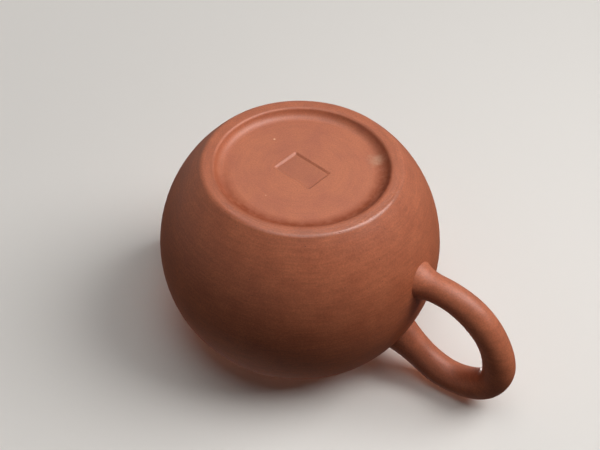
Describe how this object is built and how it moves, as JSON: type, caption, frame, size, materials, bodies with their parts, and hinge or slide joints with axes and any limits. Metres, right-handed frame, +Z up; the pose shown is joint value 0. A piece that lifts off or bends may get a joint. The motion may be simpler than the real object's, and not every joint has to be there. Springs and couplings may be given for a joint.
{
  "type": "teapot",
  "caption": "Small unglazed clay teapot: near-spherical body on a ring foot, short upturned spout, round ear handle and a loose domed lid with a bead knob.",
  "frame": {"origin": "centre of the foot ring, in the plane that the pot stands on", "axes": "+Z up through the lid's knob, +X towards the handle, -X towards the spout"},
  "size_m": [0.1212, 0.08, 0.0794],
  "materials": {
    "zisha_clay": "matte unglazed fired stoneware, fine sandy grain"
  },
  "bodies": {
    "pot": {"foot_ring": "zisha_clay", "base_slab": "zisha_clay", "belly_wall": "zisha_clay", "shoulder_slab": "zisha_clay", "spout": "zisha_clay", "strainer": "zisha_clay", "handle": "zisha_clay"},
    "lid": {"lid_slab": "zisha_clay", "lid_flange": "zisha_clay", "knob": "zisha_clay"}
  },
  "joints": [
    {"name": "lid_lift", "type": "slide", "parent": "pot", "child": "lid", "axis": [0, 0, 1], "range_m": [0, 0.04]}
  ]
}
